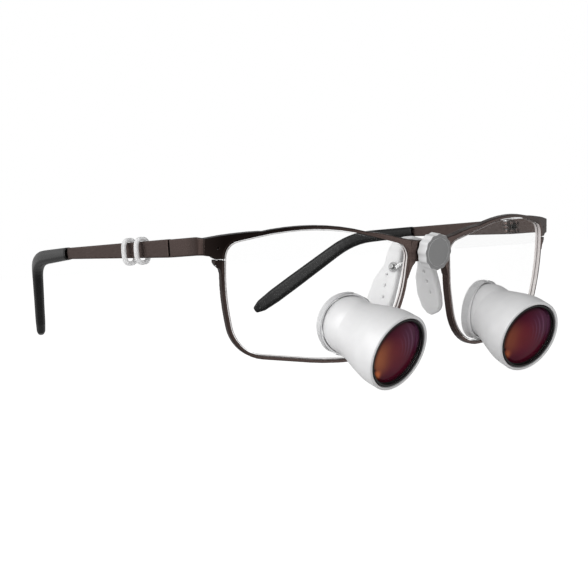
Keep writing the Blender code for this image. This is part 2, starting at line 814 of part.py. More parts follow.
def ball_profile(start, end, count):
    """Points along the barrel's ball end between two distances from the front rim."""
    first = math.acos((BALL_TO_FRONT - start) / BALL_R)
    last = math.acos((BALL_TO_FRONT - end) / BALL_R)
    spots = []
    for i in range(count):
        angle = first + (last - first) * i / (count - 1)
        spots.append((BALL_TO_FRONT - BALL_R * math.cos(angle), BALL_R * math.sin(angle)))
    return spots


def barrel(name, side):
    outer = [(0.0, BARREL_R - 0.25), (0.25, BARREL_R), (4.6, BARREL_R - 0.02)]
    outer += [(7.2, 10.6), (9.8, 9.9), (12.4, 9.1), (14.6, 8.45), (16.2, 8.1)]
    ball = ball_profile(16.8, BALL_TO_FRONT + 6.0, 7)
    inner = [
        (24.2, 5.3), (21.0, 5.3), (20.8, 6.3), (14.6, 6.3), (10.5, 8.6), (8.0, 9.2), (7.2, 9.2), (7.2, 10.15),
        (0.0, 10.3),
    ]
    return telescope_piece(name, side, (*outer, *ball, *inner), "housing", TURNED)


def front_ring(name, side):
    """The black ring that holds the objective in."""
    profile = ((0.2, 9.45), (0.2, 10.0), (0.75, 10.0), (0.75, 9.45))
    return telescope_piece(name, side, profile, "black")


def objective_front(name, side):
    """The crown element: convex on both faces."""
    profile = ((0.55, 0), (0.8, 4.6), (1.35, 8.6), (1.65, 9.0), (1.65, 9.8), (4.2, 9.8), (4.8, 5.0), (5.0, 0))
    return telescope_piece(name, side, profile, "coated_glass", closed=False)


def objective_rear(name, side):
    """The flint element, nested behind the crown."""
    profile = ((5.3, 0), (5.1, 5.0), (4.5, 9.8), (6.6, 9.8), (6.9, 0))
    return telescope_piece(name, side, profile, "coated_glass", closed=False)


def seal_ring(name, side):
    """The soft ring that keeps water out between the objective and its retaining ring."""
    profile = ((1.05, 9.3), (1.05, 9.85), (1.35, 9.85), (1.35, 9.3))
    return telescope_piece(name, side, profile, "black")


def baffle_tube(name, side):
    """The blackened spacer between the objective and the eyepiece."""
    outer = ((8.3, 8.9), (10.2, 8.25), (14.3, 6.0), (20.0, 6.0))
    inner = ((20.0, 5.4), (14.6, 5.4), (10.3, 7.6), (8.3, 8.2))
    return telescope_piece(name, side, outer + inner, "black")


def eyepiece_lens(name, side):
    """The concave eyepiece element."""
    profile = (
        (21.9, 0), (21.6, 3.0), (21.2, 4.0), (21.2, 5.0), (23.0, 5.0), (23.0, 4.2), (22.75, 3.0), (22.6, 0),
    )
    return telescope_piece(name, side, profile, "lens", closed=False)


def eyepiece_ring(name, side):
    profile = ((23.3, 4.3), (23.3, 5.0), (24.1, 5.0), (24.1, 4.3))
    return telescope_piece(name, side, profile, "black")


def socket_ring(name, side):
    """The ring bonded in the lens bore whose rounded seat holds the barrel's ball end."""
    axis = lens_normal(side)
    seat_r = BALL_R + GAP
    outer = SOCKET_R
    start, end = 1.9, 5.1
    seat = []
    for i in range(4):
        along = end + (start - end) * i / 3
        seat.append((along, math.sqrt(seat_r ** 2 - along ** 2)))
    profile = ((start, outer), (end - 0.5, outer), (end, outer - 0.5), *seat)
    return turned(name, ball_centre(side), axis, profile, "housing", TURNED, True)


def main():
    clear_scene()
    frame_front()
    for side, hand in ((-1, "right"), (1, "left")):
        carrier_lens("carrier_lens_" + hand, side)
        closing_screw("rim_screw_" + hand, side)
        hinge_screw("hinge_screw_" + hand, side)
        temple("temple_" + hand, side)
        temple_tip("temple_tip_" + hand, side)
        pad_arm("pad_arm_" + hand, side)
        pad_screw("pad_screw_" + hand, side)
        for make in (
            barrel, front_ring, seal_ring, objective_front, objective_rear, baffle_tube, eyepiece_lens,
            eyepiece_ring, socket_ring,
        ):
            make(make.__name__ + "_" + hand, side)
    cut(nose_saddle(), pad_screw_bores() + pad_vents())
    mount_stud()
    clamp_washer()
    thumb_knob()
    knob_cap()
    cable_clip("cable_clip_front", CLIP_Y[0])
    cable_clip("cable_clip_rear", CLIP_Y[1])


main()
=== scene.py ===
"""The finished look of the dental loupes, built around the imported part.

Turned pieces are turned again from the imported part's own profiles, with eased edges.  Bent and moulded
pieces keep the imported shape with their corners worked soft.  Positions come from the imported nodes; small
details are in millimetres.
"""

import json
import math

import bmesh
import bpy
import numpy as np
from mathutils import Matrix, Vector


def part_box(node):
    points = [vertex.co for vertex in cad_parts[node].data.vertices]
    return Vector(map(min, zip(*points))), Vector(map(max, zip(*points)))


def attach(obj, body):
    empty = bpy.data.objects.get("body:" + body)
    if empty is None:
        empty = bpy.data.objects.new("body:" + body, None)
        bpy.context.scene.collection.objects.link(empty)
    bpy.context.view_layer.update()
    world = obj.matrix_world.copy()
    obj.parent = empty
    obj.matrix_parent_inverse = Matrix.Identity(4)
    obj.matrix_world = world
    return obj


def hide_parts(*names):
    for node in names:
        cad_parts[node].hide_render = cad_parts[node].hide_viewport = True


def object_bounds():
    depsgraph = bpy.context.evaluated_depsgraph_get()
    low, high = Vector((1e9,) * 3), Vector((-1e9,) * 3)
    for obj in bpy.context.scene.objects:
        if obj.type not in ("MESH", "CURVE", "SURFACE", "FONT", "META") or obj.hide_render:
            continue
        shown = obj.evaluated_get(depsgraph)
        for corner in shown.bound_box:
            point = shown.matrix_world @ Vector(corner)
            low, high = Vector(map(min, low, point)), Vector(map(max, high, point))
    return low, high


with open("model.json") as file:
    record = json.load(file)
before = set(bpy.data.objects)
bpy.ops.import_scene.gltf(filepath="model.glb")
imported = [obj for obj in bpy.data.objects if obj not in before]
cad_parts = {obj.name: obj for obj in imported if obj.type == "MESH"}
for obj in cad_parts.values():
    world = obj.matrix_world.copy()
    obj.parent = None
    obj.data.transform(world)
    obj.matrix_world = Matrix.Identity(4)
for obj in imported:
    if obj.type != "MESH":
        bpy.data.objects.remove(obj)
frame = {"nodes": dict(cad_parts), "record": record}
CAD_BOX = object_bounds()

MM = 0.001
HANDS = ("right", "left")
RECORD = frame["record"]

# Camera, aimed at a point behind the near lens
CAMERA_AZIMUTH = math.radians(-40.21)
CAMERA_ELEVATION = math.radians(1.694)
CAMERA_ROLL = math.radians(-4.01)
CAMERA_DISTANCE = 416.7 * MM
CAMERA_TARGET = Vector((-32.33, 26.97, -9.06)) * MM
CAMERA_LENS = 89.18
SENSOR_WIDTH = 36.0

# Studio: azimuths turn from straight in front of the object towards its +X side
TENT_AZIMUTH = math.radians(-105)
CARD_AZIMUTH = math.radians(40)
KEY_AZIMUTH = math.radians(-72)
KEY_ELEVATION = math.radians(22)
KEY_DISTANCE = 0.8
KEY_SIZE = 0.8
KEY_POWER = 3.6
FLOOR_RADIUS = 6.0
FLOOR_GAP = 0.2 * MM

# Painted shade: where the front's plating is painted darkest, from its near upper corner, in millimetres
PAINTED_SHADE_OFFSET = (6.0, 8.0, -4.0)
PAINTED_SHADE_REACH = (62.0, 14.0, 15.0)

# Turned pieces
SEGMENTS = 128
EDGE_EASE = 0.13 * MM
GENTLE_TURN = math.radians(27)
CORNER_STEPS = 6
SAME_SPOT = 0.006 * MM
SCREW_SEGMENTS = 48
SCREW_EASE = 0.06 * MM

# Bent and moulded pieces: voxel size in millimetres, and smoothing passes
FRONT_FINISH = (0.13, 7)
TEMPLE_FINISH = (0.15, 5)
TIP_FINISH = (0.22, 24)
PAD_ARM_FINISH = (0.1, 5)
SADDLE_FINISH = (0.2, 16)

# Thumb knob
KNOB_LOBES = 12
LOBE_SEGMENTS = 20
KNOB_SCALLOP = 0.3 * MM
KNOB_CHAMFER = 0.14 * MM
KNOB_EASE = 0.08 * MM
CAP_EASE = 0.05 * MM
CAP_GAP = 0.03 * MM
LATHE_PITCH = 0.09 * MM       # between the fine rings that turning leaves on the knob's face

# Cable clips
CLIP_STEPS = 120
CLIP_SECTION_STEPS = 28
CLIP_SQUARENESS = 0.72        # 1 makes an oval loop, and less makes it squarer
CLIP_GROOVE = 0.34            # depth of the groove round a clip, as a part of its thickness
CLIP_GROOVE_WIDTH = 0.36      # width of that groove, as a part of the clip's own width

# Where a lens's ground edge changes from the bore's tint to a painted reflection of the rim's colour, in
# millimetres from the bore's axis
BORE_TINT_END = 9.4
RIM_REFLECTION_START = 10.0
TINT_SCALE = 20.0

# Objective coatings: painted reflections, the coloured sheen of the coatings painted into the glass's colour
DARK_WINE = (0.06, 0.004, 0.014)
WINE = (0.16, 0.012, 0.035)
CRIMSON = (0.19, 0.02, 0.026)
VIOLET = (0.10, 0.02, 0.062)
AMBER = (0.46, 0.145, 0.06)
PAINTED_GLINT = (1.0, 0.27, 0.09)
GHOST = (0.25, 0.10, 0.19)
PAINTED_DARK_SPOT = (0.03, 0.004, 0.003)
SHADE = (0.003, 0.001, 0.001)
GHOST_RINGS = 40.0
WARM_REFLECTION = {"right": 1.0, "left": 0.55}    # the far objective shows less amber from the camera


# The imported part's own shapes


def body_of(node):
    """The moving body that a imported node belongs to."""
    return next(body for body, nodes in RECORD["behaviour"]["bodies"].items() if node in nodes)


def vertices_of(node):
    """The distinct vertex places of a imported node, one row each."""
    mesh = frame["nodes"][node].data
    places = np.array([vertex.co for vertex in mesh.vertices])
    return np.unique(np.round(places, 7), axis=0)


def offsets_from(node, middle):
    """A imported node's vertices, measured from a middle point."""
    return [Vector(place) - middle for place in vertices_of(node)]


def turning_axis(node, towards):
    """The middle of a turned node and its axis of symmetry, pointing the same way as a given direction."""
    places = vertices_of(node)
    middle = places.mean(axis=0)
    spread, directions = np.linalg.eigh(np.cov((places - middle).T))
    odd = 0 if abs(spread[0] - spread[1]) > abs(spread[1] - spread[2]) else 2
    axis = Vector(directions[:, odd]).normalized()
    return Vector(middle), axis if axis.dot(towards) > 0 else -axis


def axes_about(direction):
    """Two unit vectors square to a direction, the second as near to straight up as it can be."""
    hint = Vector((0, 0, 1)) if abs(direction.z) < 0.9 else Vector((0, 1, 0))
    across = direction.cross(hint).normalized()
    return across, across.cross(direction).normalized()


def turned_profile(node, middle, axis):
    """A turned node's section as (along the axis, radius) spots in order, and whether it closes."""
    mesh = frame["nodes"][node].data
    spots = []
    spot_of = []
    for vertex in mesh.vertices:
        offset = vertex.co - middle
        along = offset.dot(axis)
        radius = (offset - axis * along).length
        gaps = [abs(spot[0] - along) + abs(spot[1] - radius) for spot in spots]
        index = next((i for i, gap in enumerate(gaps) if gap < SAME_SPOT), len(spots))
        if index == len(spots):
            spots.append((along, radius))
        spot_of.append(index)
    neighbours = {i: set() for i in range(len(spots))}
    for edge in mesh.edges:
        a, b = (spot_of[i] for i in edge.vertices)
        if a != b:
            neighbours[a].add(b)
            neighbours[b].add(a)
    ends = [i for i, found in neighbours.items() if len(found) == 1]
    walk = [ends[0] if ends else 0]
    while True:
        following = [i for i in sorted(neighbours[walk[-1]]) if i not in walk]
        if not following:
            break
        walk.append(following[0])
    return [spots[i] for i in walk], not ends


def eased_corner(before, corner, after, ease):
    """Points that round one corner of a profile: a small ease if it is sharp, a long sweep if gentle."""
    before, corner, after = Vector(before), Vector(corner), Vector(after)
    arriving, leaving = corner - before, after - corner
    turn = arriving.angle(leaving, 0.0)
    shorter = min(arriving.length, leaving.length)
    gentle = turn < GENTLE_TURN
    reach = shorter * 0.5 if gentle else min(ease, shorter * 0.45)
    first = corner - arriving.normalized() * reach
    last = corner + leaving.normalized() * reach
    points = []
    for i in range(CORNER_STEPS + 1):
        t = i / CORNER_STEPS
        points.append(first * (1 - t) ** 2 + corner * 2 * t * (1 - t) + last * t ** 2)
    return [tuple(point) for point in points]


def eased_profile(spots, closed, ease=EDGE_EASE):
    """The profile with every corner rounded; an open one is carried to the axis at both ends."""
    if closed:
        rounded = []
        for i, spot in enumerate(spots):
            rounded += eased_corner(spots[i - 1], spot, spots[(i + 1) % len(spots)], ease)
        return rounded
    if spots[0][1] > SAME_SPOT:
        spots = [(spots[0][0], 0.0), *spots]
    if spots[-1][1] > SAME_SPOT:
        spots = [*spots, (spots[-1][0], 0.0)]
    mirrored = [(spots[1][0], -spots[1][1]), *spots, (spots[-2][0], -spots[-2][1])]
    rounded = []
    for i in range(1, len(mirrored) - 1):
        rounded += eased_corner(mirrored[i - 1], mirrored[i], mirrored[i + 1], ease)
    return [(along, max(radius, 0.0)) for along, radius in rounded if radius > -SAME_SPOT * 0.01]


# Building meshes

def strip(bm, lower, upper):
    """Faces between two neighbouring rings; a ring of one vertex is a pole."""
    count = max(len(lower), len(upper))
    if count == 1:
        return
    for i in range(count):
        j = (i + 1) % count
        below = lower[i % len(lower)], lower[j % len(lower)]
        above = upper[j % len(upper)], upper[i % len(upper)]
        bm.faces.new(list(dict.fromkeys(below + above)))


def loft(bm, rings, closed):
    """Faces along a row of rings, and from the last back to the first if it closes."""
    for lower, upper in zip(rings, rings[1:]):
        strip(bm, lower, upper)
    if closed:
        strip(bm, rings[-1], rings[0])


def stand_in(node, bm, paint):
    """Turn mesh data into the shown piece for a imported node, riding on that node's body."""
    bmesh.ops.remove_doubles(bm, verts=bm.verts, dist=0.0005 * MM)
    bmesh.ops.recalc_face_normals(bm, faces=bm.faces)
    name = node + "_surface"
    mesh = bpy.data.meshes.new(name)
    bm.to_mesh(mesh)
    bm.free()
    mesh.shade_smooth()
    mesh.materials.append(paint)
    piece = bpy.data.objects.new(name, mesh)
    bpy.context.scene.collection.objects.link(piece)
    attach(piece, body_of(node))
    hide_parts(node)
    return piece


def ring_at(bm, middle, axis, along, radius, segments=SEGMENTS):
    """A ring of vertices about an axis, or a single one where the radius is nothing."""
    centre = middle + axis * along
    if radius < SAME_SPOT:
        return [bm.verts.new(centre)]
    across, up = axes_about(axis)
    turn = 2 * math.pi / segments
    return [
        bm.verts.new(centre + radius * (math.cos(i * turn) * across + math.sin(i * turn) * up))
        for i in range(segments)
    ]


def turned_again(node, towards, paint, segments=SEGMENTS, ease=EDGE_EASE):
    """A packed turned node made again with a fine, eased profile."""
    middle, axis = turning_axis(node, towards)
    spots, closed = turned_profile(node, middle, axis)
    bm = bmesh.new()
    rings = [ring_at(bm, middle, axis, *spot, segments) for spot in eased_profile(spots, closed, ease)]
    loft(bm, rings, closed)
    return stand_in(node, bm, paint)


def worked_soft(node, paint, voxel, passes):
    """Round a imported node's corners and blend its joints, as polishing or moulding would."""
    item = frame["nodes"][node]
    remesh = item.modifiers.new("fine", "REMESH")
    remesh.mode = "VOXEL"
    remesh.voxel_size = voxel * MM
    remesh.use_smooth_shade = True
    smooth = item.modifiers.new("soft", "SMOOTH")
    smooth.factor = 0.5
    smooth.iterations = passes
    item.data.materials.clear()
    item.data.materials.append(paint)
    return item


# Node materials

def feed(tree, socket, value):
    """Link a node's output to a socket, or set the socket to a plain value."""
    if isinstance(value, bpy.types.NodeSocket):
        tree.links.new(value, socket)
    elif isinstance(value, tuple) and len(value) == 3 and socket.type == "RGBA":
        socket.default_value = (*value, 1.0)
    else:
        socket.default_value = value


def add(tree, kind, **inputs):
    """A shader node with its inputs set to values or linked to other nodes' outputs."""
    made = tree.nodes.new("ShaderNode" + kind)
    for name, value in inputs.items():
        feed(tree, made.inputs[name.replace("_", " ")], value)
    return made


def maths(tree, operation, *values):
    """The result of a maths node."""
    made = tree.nodes.new("ShaderNodeMath")
    made.operation = operation
    for socket, value in zip(made.inputs, values):
        feed(tree, socket, value)
    return made.outputs[0]


def vector_maths(tree, operation, *values):
    """The result of a vector maths node, a number or a vector."""
    made = tree.nodes.new("ShaderNodeVectorMath")
    made.operation = operation
    for socket, value in zip(made.inputs, values):
        feed(tree, socket, value)
    gives_number = operation in ("DOT_PRODUCT", "LENGTH")
    return made.outputs["Value" if gives_number else "Vector"]


def ramp(tree, factor, *stops):
    """A colour ramp through (place, colour or grey) stops."""
    made = tree.nodes.new("ShaderNodeValToRGB")
    elements = made.color_ramp.elements
    while len(elements) < len(stops):
        elements.new(0.5)
    for element, (place, colour) in zip(elements, stops):
        element.position = place
        element.color = (*colour, 1.0) if isinstance(colour, tuple) else (colour, colour, colour, 1.0)
    tree.links.new(factor, made.inputs["Fac"])
    return made.outputs["Color"]


def mixed(tree, factor, first, second, blend="MIX"):
    """Two colours mixed by a factor."""
    made = tree.nodes.new("ShaderNodeMix")
    made.data_type = "RGBA"
    made.blend_type = blend
    for index, value in ((0, factor), (6, first), (7, second)):
        feed(tree, made.inputs[index], value)
    return made.outputs[2]


def millimetres(tree):
    """Object coordinates, counted in millimetres."""
    place = tree.nodes.new("ShaderNodeTexCoord").outputs["Object"]
    return vector_maths(tree, "MULTIPLY", place, (1 / MM, 1 / MM, 1 / MM))


def noise(tree, place, scale, detail=3.0, stretch=(1.0, 1.0, 1.0)):
    """A noise value whose features are about one over scale millimetres across."""
    stretched = vector_maths(tree, "MULTIPLY", place, stretch)
    return add(tree, "TexNoise", Vector=stretched, Scale=scale, Detail=detail, Roughness=0.6).outputs["Fac"]


def new_material(name):
    """A material, its node tree and its shader."""
    made = bpy.data.materials.new(name)
    made.use_nodes = True
    return made, made.node_tree, made.node_tree.nodes["Principled BSDF"]


def drive(tree, shader, **inputs):
    """Set or link a shader's inputs."""
    for name, value in inputs.items():
        feed(tree, shader.inputs[name.replace("_", " ")], value)


def bump(tree, height, strength, depth):
    """A normal from a height value; depth is in millimetres."""
    return add(tree, "Bump", Strength=strength, Distance=depth * MM, Height=height).outputs["Normal"]


def painted_corner_shade(tree, place):
    """Painted shade: from 1 at the front's near upper corner to 0 away from it, reaching furthest along the
    rim's top.
    """
    low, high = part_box("frame_front")
    corner = Vector((low[0], low[1], high[2])) / MM + Vector(PAINTED_SHADE_OFFSET)
    offset = vector_maths(tree, "SUBTRACT", place, tuple(corner))
    shrunk = vector_maths(tree, "MULTIPLY", offset, tuple(1 / reach for reach in PAINTED_SHADE_REACH))
    return ramp(tree, vector_maths(tree, "LENGTH", shrunk), (0.35, 1.0), (1.0, 0.0))


def brushed_metal(name, dark, light, streak, rough, painted_shade=False):
    """Plated metal with fine streaks along one direction and slightly uneven colour, and painted shade near
    the front's near upper corner if asked.
    """
    made, tree, shader = new_material(name)
    place = millimetres(tree)
    fine = noise(tree, place, 7.0, 4.0, streak)
    cloud = noise(tree, place, 0.3, 2.0)
    body = mixed(tree, ramp(tree, fine, (0.3, 0.0), (0.7, 1.0)), dark, light)
    body = mixed(tree, maths(tree, "MULTIPLY", cloud, 0.3), body, tuple(1.3 * c for c in light))
    if painted_shade:
        # Painted shade: the plating is painted darker towards the front's near upper corner
        body = mixed(tree, painted_corner_shade(tree, place), body, tuple(0.22 * c for c in dark))
    roughness = maths(tree, "MULTIPLY_ADD", fine, 0.14, rough - 0.05)
    drive(
        tree, shader, Base_Color=body, Metallic=1.0, Roughness=roughness,
        Normal=bump(tree, fine, 0.2, 0.01),
    )
    return made


def satin_housing():
    """Bead-blasted, clear-anodised aluminium: pale, with a very fine grain."""
    made, tree, shader = new_material("satin_housing")
    place = millimetres(tree)
    grain = noise(tree, place, 14.0, 5.0)
    cloud = noise(tree, place, 0.18, 2.0)
    colour = ramp(tree, cloud, (0.3, (0.87, 0.87, 0.875)), (0.7, (0.92, 0.92, 0.925)))
    roughness = maths(tree, "MULTIPLY_ADD", grain, 0.12, 0.38)
    drive(
        tree, shader, Base_Color=colour, Metallic=0.12, Roughness=roughness, Specular_IOR_Level=0.4,
        Normal=bump(tree, grain, 0.12, 0.01),
    )
    return made


def bright_steel():
    """Polished steel with light scuffs."""
    made, tree, shader = new_material("bright_steel")
    place = millimetres(tree)
    scuff = noise(tree, place, 3.0, 6.0, (1.0, 1.0, 0.2))
    colour = ramp(tree, scuff, (0.3, 0.5), (0.7, 0.72))
    drive(
        tree, shader, Base_Color=colour, Metallic=1.0,
        Roughness=maths(tree, "MULTIPLY_ADD", scuff, 0.2, 0.14), Normal=bump(tree, scuff, 0.1, 0.01),
    )
    return made


def black_anodised():
    """Matt black anodised metal."""
    made, tree, shader = new_material("black_anodised")
    place = millimetres(tree)
    grain = noise(tree, place, 10.0, 4.0)
    colour = ramp(tree, grain, (0.3, 0.004), (0.75, 0.012))
    drive(
        tree, shader, Base_Color=colour, Roughness=maths(tree, "MULTIPLY_ADD", grain, 0.15, 0.35),
        Specular_IOR_Level=0.3, Normal=bump(tree, grain, 0.08, 0.01),
    )
    return made


def polished_acetate():
    """Polished black acetate: deep gloss, faint smears and tumbling marks."""
    made, tree, shader = new_material("polished_acetate")
    place = millimetres(tree)
    smear = noise(tree, place, 0.4, 3.0, (1.0, 0.3, 1.0))
    grain = noise(tree, place, 6.0, 4.0)
    colour = ramp(tree, smear, (0.3, 0.003), (0.8, 0.007))
    roughness = maths(tree, "MULTIPLY_ADD", smear, 0.2, 0.16)
    drive(
        tree, shader, Base_Color=colour, Roughness=roughness, Specular_IOR_Level=0.36,
        Normal=bump(tree, grain, 0.01, 0.01),
    )
    return made


def moulded_silicone(name, colour, alpha):
    """Frosty translucent silicone with a fine moulded skin."""
    made, tree, shader = new_material(name)
    place = millimetres(tree)
    skin = noise(tree, place, 5.0, 4.0)
    cloud = noise(tree, place, 0.3, 2.0)
    tone = mixed(tree, cloud, tuple(c * 0.93 for c in colour), colour)
    drive(
        tree, shader, Base_Color=tone, Roughness=maths(tree, "MULTIPLY_ADD", skin, 0.2, 0.32), Alpha=alpha,
        Subsurface_Weight=0.5, Subsurface_Radius=(1.0, 1.0, 1.0), Subsurface_Scale=1.2 * MM,
        Specular_IOR_Level=0.4, Normal=bump(tree, skin, 0.1, 0.02),
    )
    return made


def from_axis(tree, place, middle, axis):
    """Distance from an axis through a middle point."""
    offset = vector_maths(tree, "SUBTRACT", place, tuple(middle))
    return vector_maths(tree, "LENGTH", vector_maths(tree, "CROSS_PRODUCT", offset, tuple(axis)))


def clear_lens(name, middle, normal):
    """A coated clear lens: almost nothing but a faint sheen, with a frosty ground edge that carries a
    painted reflection of the rim's colour near the rim.
    """
    made, tree, shader = new_material(name)
    place = millimetres(tree)
    facing = tree.nodes.new("ShaderNodeNewGeometry").outputs["Normal"]
    square = maths(tree, "ABSOLUTE", vector_maths(tree, "DOT_PRODUCT", facing, tuple(normal)))
    edge = ramp(tree, square, (0.55, 1.0), (0.8, 0.0))
    smear = noise(tree, place, 0.12, 3.0)
    fresnel = add(tree, "Fresnel", IOR=1.25).outputs["Fac"]
    clear = maths(tree, "MULTIPLY_ADD", fresnel, 0.07, 0.003)
    alpha = maths(tree, "MAXIMUM", clear, maths(tree, "MULTIPLY", edge, 0.9))
    out = from_axis(tree, place, Vector(middle) / MM, normal)
    stops = (BORE_TINT_END / TINT_SCALE, 0.0), (RIM_REFLECTION_START / TINT_SCALE, 1.0)
    rim_reflection = ramp(tree, maths(tree, "MULTIPLY", out, 1 / TINT_SCALE), *stops)
    # Painted reflection: near the rim, the frosty edge is painted pinkish with the rim's colour
    edge_colour = mixed(tree, rim_reflection, (0.80, 0.80, 0.81), (0.84, 0.78, 0.77))
    colour = mixed(tree, edge, (0.92, 0.95, 0.94), edge_colour)
    drive(
        tree, shader, Base_Color=colour, Alpha=alpha, Specular_Tint=(0.85, 1.0, 0.9),
        Roughness=maths(tree, "MULTIPLY_ADD", smear, 0.06, 0.02),
    )
    return made


def near(tree, across, up, spot, reach):
    """How near a place on a disc is to a spot, from 0 at the reach to 1 at the spot."""
    offset_a = maths(tree, "SUBTRACT", across, spot[0])
    offset_b = maths(tree, "SUBTRACT", up, spot[1])
    square = maths(tree, "MULTIPLY", offset_a, offset_a)
    distance = maths(tree, "SQRT", maths(tree, "MULTIPLY_ADD", offset_b, offset_b, square))
    made = tree.nodes.new("ShaderNodeMapRange")
    made.interpolation_type = "SMOOTHERSTEP"
    tree.links.new(distance, made.inputs["Value"])
    for name, value in (("From Min", 0.0), ("From Max", reach), ("To Min", 1.0), ("To Max", 0.0)):
        made.inputs[name].default_value = value
    return made.outputs["Result"]


def camera_right():
    """The level direction to the camera's right."""
    return Vector((math.cos(CAMERA_AZIMUTH), math.sin(CAMERA_AZIMUTH), 0))


def objective_painted_reflections(name, middle, axis, radius, warm_reflection):
    """A multicoated objective with its coloured reflections painted in: amber at one side, wine red below,
    violet at the other, with ghost rings.

    Spots on the glass are in lens radii from its middle: to the camera's right, and up.
    """
    made, tree, shader = new_material(name)
    right = (camera_right() - axis * camera_right().dot(axis)).normalized()
    top = axis.cross(right) if axis.cross(right).z > 0 else -axis.cross(right)
    place = tree.nodes.new("ShaderNodeTexCoord").outputs["Object"]
    offset = vector_maths(tree, "SUBTRACT", place, tuple(middle))
    scaled = vector_maths(tree, "MULTIPLY", offset, (1 / radius,) * 3)
    across = vector_maths(tree, "DOT_PRODUCT", scaled, tuple(right))
    up = vector_maths(tree, "DOT_PRODUCT", scaled, tuple(top))

    def glow(colour, spot, reach, amount, tint):
        """Tint a colour around one spot of the glass."""
        strength = maths(tree, "MULTIPLY", near(tree, across, up, spot, reach), amount)
        return mixed(tree, strength, colour, tint)

    # Painted reflection: the coatings' wine, violet, amber and crimson sheen, painted into the colour
    wine = near(tree, across, up, (0.0, -0.2), 1.4)
    colour = mixed(tree, wine, DARK_WINE, WINE)
    colour = glow(colour, (0.7, 0.25), 1.0, 0.9, VIOLET)
    colour = glow(colour, (-0.72, 0.1), 0.9, warm_reflection, AMBER)
    colour = glow(colour, (-0.05, 0.0), 0.75, 0.7, CRIMSON)
    # Painted reflection: ghost images, as rings of light on the camera's right of the glass
    ghosts = near(tree, across, up, (-0.45, 0.1), 1.6)
    rings = maths(tree, "MAXIMUM", maths(tree, "SINE", maths(tree, "MULTIPLY", ghosts, GHOST_RINGS)), 0.0)
    lit = maths(tree, "MULTIPLY", rings, near(tree, across, up, (0.72, 0.1), 0.8))
    colour = mixed(tree, maths(tree, "MULTIPLY", lit, 0.6), colour, GHOST)
    # Painted highlight: a small bright orange glint low on the camera's left of the glass
    colour = glow(colour, (-0.8, -0.42), 0.27, warm_reflection, PAINTED_GLINT)
    # Painted reflection: a small dark spot in the reflections beside the glint
    colour = glow(colour, (-0.86, -0.2), 0.11, 1.0, PAINTED_DARK_SPOT)
    # Painted shadow: a dark rim round the glass where the bezel's inner wall shades it
    clear_of_bezel_shadow = near(tree, across, up, (0.1, -0.14), 1.14)
    colour = mixed(tree, ramp(tree, clear_of_bezel_shadow, (0.0, 1.0), (0.075, 0.0)), colour, SHADE)
    dust = noise(tree, millimetres(tree), 2.5, 5.0)
    drive(
        tree, shader, Base_Color=colour, Roughness=maths(tree, "MULTIPLY_ADD", dust, 0.05, 0.02),
        Specular_IOR_Level=0.09, Specular_Tint=(0.7, 0.2, 0.4),
    )
    return made


def knob_metal(name, axis, face_colour):
    """Turned and anodised metal: a grey end face with fine rings, and a bright wall."""
    made, tree, shader = new_material(name)
    place = tree.nodes.new("ShaderNodeTexCoord").outputs["Object"]
    facing = tree.nodes.new("ShaderNodeNewGeometry").outputs["Normal"]
    face = ramp(tree, vector_maths(tree, "DOT_PRODUCT", facing, tuple(axis)), (0.80, 0.0), (0.92, 1.0))
    radius = vector_maths(tree, "LENGTH", vector_maths(tree, "CROSS_PRODUCT", place, tuple(axis)))
    rings = maths(tree, "SINE", maths(tree, "MULTIPLY", radius, 2 * math.pi / LATHE_PITCH))
    grain = noise(tree, millimetres(tree), 12.0, 4.0)
    colour = mixed(tree, face, (0.92, 0.92, 0.925), face_colour)
    colour = mixed(tree, maths(tree, "MULTIPLY", grain, 0.15), colour, (0.35, 0.35, 0.35))
    metallic = maths(tree, "MULTIPLY_ADD", face, 0.1, 0.1)
    roughness = maths(tree, "MULTIPLY_ADD", face, 0.1, maths(tree, "MULTIPLY_ADD", grain, 0.1, 0.34))
    height = maths(tree, "ADD", maths(tree, "MULTIPLY", rings, face), grain)
    drive(
        tree, shader, Base_Color=colour, Metallic=metallic, Roughness=roughness,
        Normal=bump(tree, height, 0.06, 0.01),
    )
    return made


# Pieces of the object

def telescope_axis(hand):
    """The way a telescope looks, from its eyepiece ring to its front ring."""
    front = vertices_of("front_ring_" + hand).mean(axis=0)
    rear = vertices_of("eyepiece_ring_" + hand).mean(axis=0)
    return Vector(front - rear).normalized()


def finish_telescope(hand, paints):
    """One telescope: its housing, rings, tube and glass."""
    axis = telescope_axis(hand)
    turned_again("barrel_" + hand, axis, paints["housing"])
    for piece in ("front_ring_", "seal_ring_", "baffle_tube_", "eyepiece_ring_"):
        turned_again(piece + hand, axis, paints["black"])
    middle, looking = turning_axis("objective_front_" + hand, axis)
    places = vertices_of("objective_front_" + hand)
    radius = max((Vector(place) - middle).cross(looking).length for place in places)
    glass = objective_painted_reflections("objective_painted_reflections_" + hand, middle, looking, radius, WARM_REFLECTION[hand])
    turned_again("objective_front_" + hand, axis, glass)
    turned_again("objective_rear_" + hand, axis, glass)
    turned_again("eyepiece_lens_" + hand, axis, paints["eyepiece"])


def finish_lens(hand, paints):
    """The clear carrier lens and the ring bonded in its bore."""
    middle, normal = turning_axis("socket_ring_" + hand, Vector((0, 1, 0)))
    turned_again("socket_ring_" + hand, normal, paints["housing"])
    lens = frame["nodes"]["carrier_lens_" + hand]
    lens.data.materials.clear()
    lens.data.materials.append(clear_lens("clear_lens_" + hand, middle, normal))


def finish_fasteners(hand, paints):
    """The screws of one side."""
    for piece in ("rim_screw_", "hinge_screw_", "pad_screw_"):
        turned_again(piece + hand, Vector((0, 0, 1)), paints["steel"], SCREW_SEGMENTS, SCREW_EASE)


